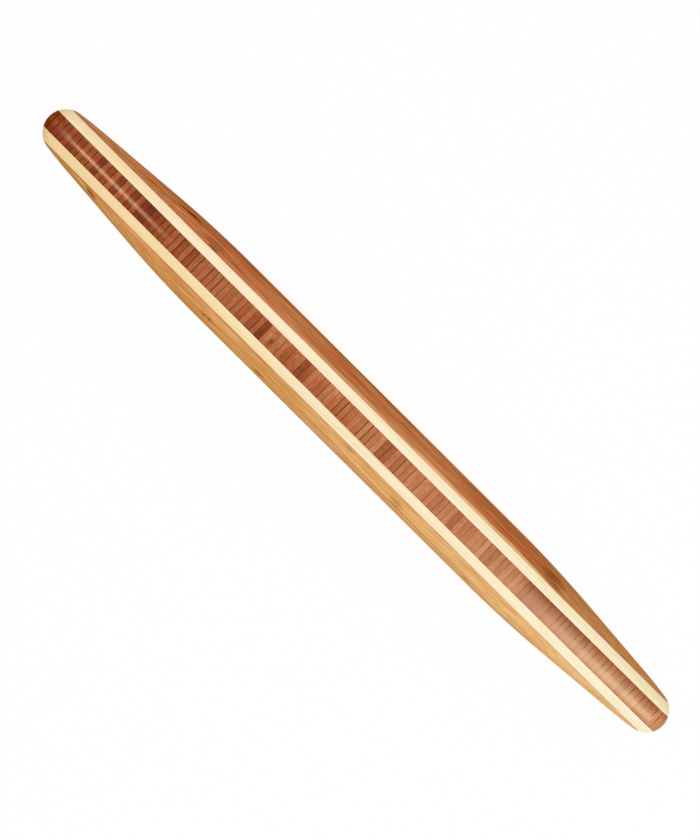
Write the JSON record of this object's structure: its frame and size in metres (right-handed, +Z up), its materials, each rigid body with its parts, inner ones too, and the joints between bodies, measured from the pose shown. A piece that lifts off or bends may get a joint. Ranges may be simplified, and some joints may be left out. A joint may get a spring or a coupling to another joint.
{
  "type": "french rolling pin",
  "caption": "Tapered one-piece rolling pin turned from a laminated bamboo blank: dark cross-laid core staves between pale slats and caramel side strips, with rounded noses.",
  "frame": {"origin": "middle of the pin, on its axis", "axes": "+X along the pin, +Y through the layers of the blank towards the deeper caramel side, +Z up through the edge of the dark core"},
  "size_m": [0.508, 0.0444, 0.0444],
  "materials": {
    "core_bamboo": "carbonised bamboo, sanded and oiled to a satin sheen",
    "pale_bamboo": "natural bamboo, sanded and oiled to a satin sheen",
    "caramel_bamboo": "caramel bamboo, sanded and oiled to a satin sheen",
    "honey_bamboo": "light caramel bamboo, sanded and oiled to a satin sheen"
  },
  "bodies": {
    "root": {"core_staves_01": "core_bamboo", "core_staves_02": "core_bamboo", "core_staves_03": "core_bamboo", "core_staves_04": "core_bamboo", "core_staves_05": "core_bamboo", "core_staves_06": "core_bamboo", "core_staves_07": "core_bamboo", "core_staves_08": "core_bamboo", "core_staves_09": "core_bamboo", "core_staves_10": "core_bamboo", "core_staves_11": "core_bamboo", "core_staves_12": "core_bamboo", "core_staves_13": "core_bamboo", "core_staves_14": "core_bamboo", "core_staves_15": "core_bamboo", "core_staves_16": "core_bamboo", "core_staves_17": "core_bamboo", "core_staves_18": "core_bamboo", "core_staves_19": "core_bamboo", "core_staves_20": "core_bamboo", "core_staves_21": "core_bamboo", "core_staves_22": "core_bamboo", "core_staves_23": "core_bamboo", "core_staves_24": "core_bamboo", "core_staves_25": "core_bamboo", "core_staves_26": "core_bamboo", "pale_slat_left_lower": "pale_bamboo", "pale_slat_left_upper": "pale_bamboo", "pale_slat_right_lower": "pale_bamboo", "pale_slat_right_upper": "pale_bamboo", "side_strip_left_1": "caramel_bamboo", "side_strip_left_2": "caramel_bamboo", "side_strip_left_3": "caramel_bamboo", "side_strip_left_4": "caramel_bamboo", "side_strip_left_5": "caramel_bamboo", "side_strip_left_6": "caramel_bamboo", "side_strip_left_7": "caramel_bamboo", "side_strip_left_8": "caramel_bamboo", "side_strip_left_9": "caramel_bamboo", "side_strip_right_1": "honey_bamboo", "side_strip_right_2": "honey_bamboo", "side_strip_right_3": "honey_bamboo", "side_strip_right_4": "honey_bamboo", "side_strip_right_5": "honey_bamboo", "side_strip_right_6": "honey_bamboo", "side_strip_right_7": "honey_bamboo", "side_strip_right_8": "honey_bamboo", "side_strip_right_9": "honey_bamboo"}
  },
  "joints": []
}
